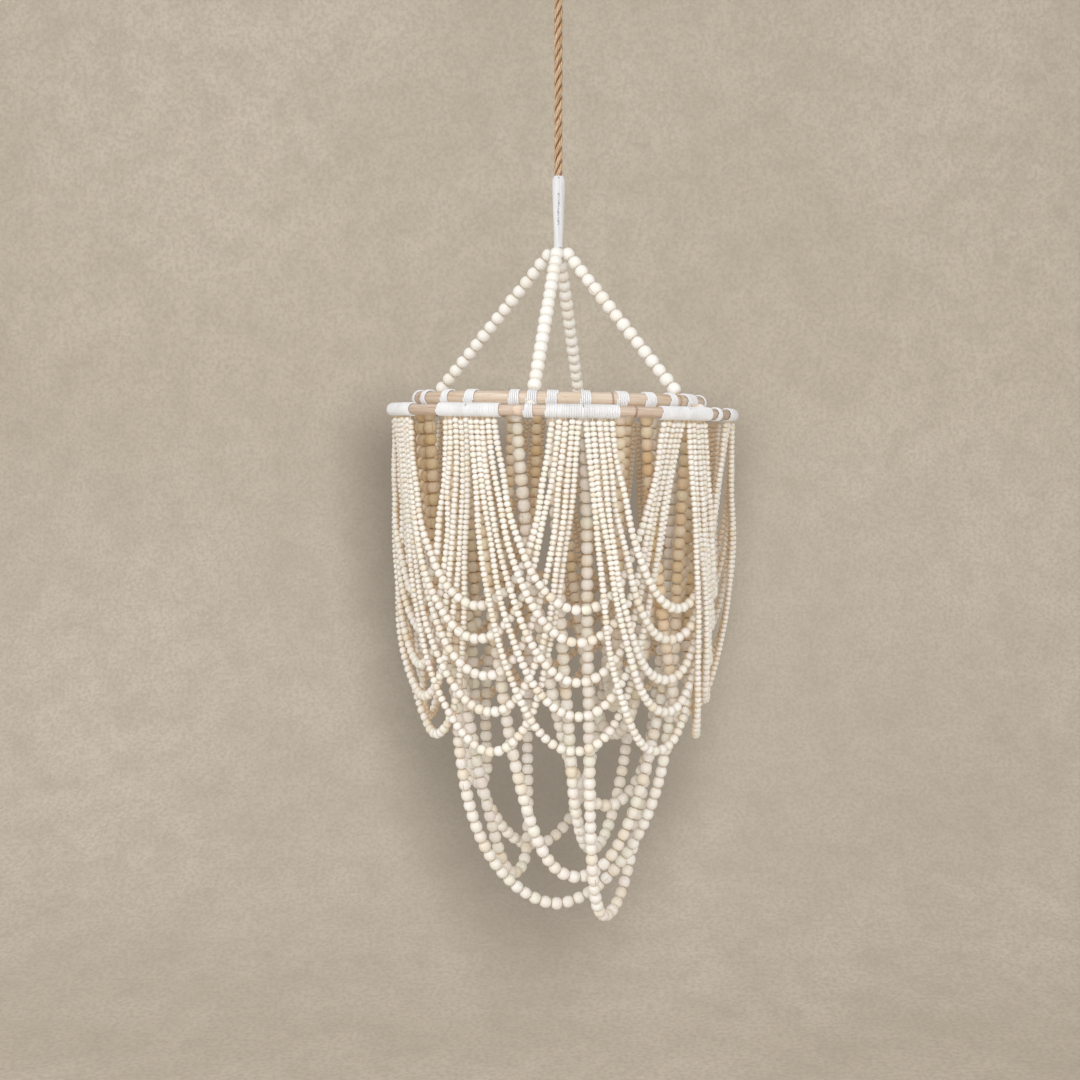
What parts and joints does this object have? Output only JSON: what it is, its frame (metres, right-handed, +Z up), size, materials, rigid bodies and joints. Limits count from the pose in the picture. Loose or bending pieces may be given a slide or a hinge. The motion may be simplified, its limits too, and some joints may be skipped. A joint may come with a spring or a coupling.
{
  "type": "beaded chandelier",
  "caption": "Hanging chandelier of two cane rings carrying a curtain of wooden bead swags and long inner bead loops, hung by bead strings, a sleeved rope and a ceiling hook.",
  "frame": {"origin": "centre of the ceiling plate's top face", "axes": "+Z up to the ceiling, -Y the side that the picture sees, +X to the viewer's right"},
  "size_m": [0.4974, 0.4974, 1.4279],
  "materials": {
    "steel": "satin",
    "jute_rope": "twisted natural fibre",
    "cotton": "soft white cotton",
    "pale_cane": "peeled cane, satin",
    "pink_cane": "peeled cane, satin",
    "large_beads": "turned wood, matt",
    "small_beads": "turned wood, matt"
  },
  "bodies": {
    "ceiling_fitting": {"ceiling_plate": "steel", "plate_screw_left": "steel", "plate_screw_right": "steel", "ceiling_hook": "steel"},
    "eye": {"rope_eye": "jute_rope", "eye_whipping": "cotton"},
    "rope_line": {"rope": "jute_rope", "sleeve": "cotton"},
    "shade": {"crown_knot": "cotton", "suspension_string_front": "large_beads", "suspension_string_right": "large_beads", "suspension_string_back": "large_beads", "suspension_string_left": "large_beads", "outer_ring": "pink_cane", "upper_ring": "pale_cane", "ring_tie_front": "cotton", "ring_tie_right": "cotton", "ring_tie_back": "cotton", "ring_tie_left": "cotton", "swag_set_01": "small_beads", "swag_set_02": "small_beads", "swag_set_03": "small_beads", "swag_set_04": "small_beads", "swag_set_05": "small_beads", "swag_set_06": "small_beads", "swag_set_07": "small_beads", "swag_set_08": "small_beads", "swag_set_09": "small_beads", "swag_set_10": "small_beads", "inner_loop_01": "large_beads", "inner_loop_02": "large_beads", "inner_loop_03": "large_beads", "inner_loop_04": "large_beads", "inner_loop_05": "large_beads", "inner_loop_06": "large_beads", "inner_loop_07": "large_beads", "inner_loop_08": "large_beads", "inner_loop_09": "large_beads", "inner_loop_10": "large_beads", "inner_loop_11": "large_beads", "inner_loop_12": "large_beads", "inner_loop_13": "large_beads"}
  },
  "joints": [
    {"name": "eye_swing", "type": "hinge", "parent": "ceiling_fitting", "child": "eye", "pos_m": [0, 0, -0.046], "axis": [1, 0, 0], "range_deg": [-20, 20]},
    {"name": "rope_sway", "type": "hinge", "parent": "eye", "child": "rope_line", "pos_m": [0, 0, -0.118], "axis": [0, 1, 0], "range_deg": [-15, 15]},
    {"name": "shade_turn", "type": "hinge", "parent": "rope_line", "child": "shade", "pos_m": [0, 0, -0.4726], "axis": [0, 0, 1], "range_deg": [-180, 180]}
  ]
}
